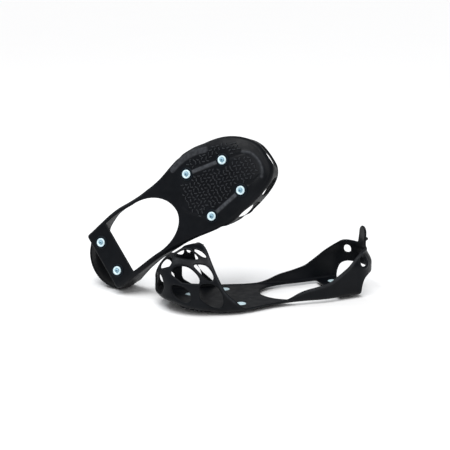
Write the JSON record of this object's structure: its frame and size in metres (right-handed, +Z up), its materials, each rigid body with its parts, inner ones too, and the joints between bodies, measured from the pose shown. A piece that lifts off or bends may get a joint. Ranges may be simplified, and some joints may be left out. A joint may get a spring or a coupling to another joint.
{
  "type": "shoe ice cleats",
  "caption": "Pair of stretch rubber overshoe ice cleats with a webbed toe net, heel cup and pull tab, and steel studs with carbide tips under the forefoot and heel.",
  "frame": {"origin": "middle of the pair's box, on the ground that the cleats stand on", "axes": "+X along the standing left cleat, from its toe to its heel, +Y away from its outer side, +Z up"},
  "size_m": [0.3932, 0.2418, 0.2337],
  "materials": {
    "rubber": "moulded black thermoplastic rubber, satin, with a fine textured tread",
    "stud_steel": "turned steel with a light zinc tint, semi-bright",
    "carbide": "ground tungsten carbide, blue-grey"
  },
  "bodies": {
    "left_forefoot": {"left_toe_net": "rubber", "left_forefoot_sole": "rubber", "left_stud_base_front_outer": "stud_steel", "left_stud_disc_front_outer": "stud_steel", "left_spike_tip_front_outer": "carbide", "left_stud_base_front_inner": "stud_steel", "left_stud_disc_front_inner": "stud_steel", "left_spike_tip_front_inner": "carbide", "left_stud_base_middle_outer": "stud_steel", "left_stud_disc_middle_outer": "stud_steel", "left_spike_tip_middle_outer": "carbide", "left_stud_base_middle_inner": "stud_steel", "left_stud_disc_middle_inner": "stud_steel", "left_spike_tip_middle_inner": "carbide"},
    "left_heel": {"left_arm_outer": "rubber", "left_arm_inner": "rubber", "left_heel_cup": "rubber", "left_stud_base_heel_outer": "stud_steel", "left_stud_disc_heel_outer": "stud_steel", "left_spike_tip_heel_outer": "carbide", "left_stud_base_heel_inner": "stud_steel", "left_stud_disc_heel_inner": "stud_steel", "left_spike_tip_heel_inner": "carbide"},
    "left_tab": {"left_heel_tab": "rubber"},
    "right_heel": {"right_arm_outer": "rubber", "right_arm_inner": "rubber", "right_heel_cup": "rubber", "right_stud_base_heel_outer": "stud_steel", "right_stud_disc_heel_outer": "stud_steel", "right_spike_tip_heel_outer": "carbide", "right_stud_base_heel_inner": "stud_steel", "right_stud_disc_heel_inner": "stud_steel", "right_spike_tip_heel_inner": "carbide"},
    "right_forefoot": {"right_toe_net": "rubber", "right_forefoot_sole": "rubber", "right_stud_base_front_outer": "stud_steel", "right_stud_disc_front_outer": "stud_steel", "right_spike_tip_front_outer": "carbide", "right_stud_base_front_inner": "stud_steel", "right_stud_disc_front_inner": "stud_steel", "right_spike_tip_front_inner": "carbide", "right_stud_base_middle_outer": "stud_steel", "right_stud_disc_middle_outer": "stud_steel", "right_spike_tip_middle_outer": "carbide", "right_stud_base_middle_inner": "stud_steel", "right_stud_disc_middle_inner": "stud_steel", "right_spike_tip_middle_inner": "carbide"},
    "right_tab": {"right_heel_tab": "rubber"}
  },
  "joints": [
    {"name": "left_waist_bend", "type": "hinge", "parent": "left_forefoot", "child": "left_heel", "pos_m": [0.04263, -0.05854, 0.0082], "axis": [0, -1, 0], "range_deg": [0, 45], "stiffness_Nm_per_rad": 0.5},
    {"name": "left_tab_pull", "type": "hinge", "parent": "left_heel", "child": "left_tab", "pos_m": [0.18863, -0.05854, 0.06775], "axis": [0, 1, 0], "range_deg": [0, 75], "stiffness_Nm_per_rad": 0.06},
    {"name": "right_cleat_away", "type": "slide", "parent": "left_forefoot", "child": "right_heel", "axis": [0.6368, 0.771, 0], "range_m": [0, 0.15]},
    {"name": "right_waist_bend", "type": "hinge", "parent": "right_heel", "child": "right_forefoot", "pos_m": [-0.09296, -0.00456, 0.11899], "axis": [-0.3555, 0.5293, 0.7704], "range_deg": [0, 45], "stiffness_Nm_per_rad": 0.5},
    {"name": "right_tab_pull", "type": "hinge", "parent": "right_heel", "child": "right_tab", "pos_m": [-0.1582, 0.09792, 0.01847], "axis": [-0.3555, 0.5293, 0.7704], "range_deg": [0, 75], "stiffness_Nm_per_rad": 0.06}
  ]
}
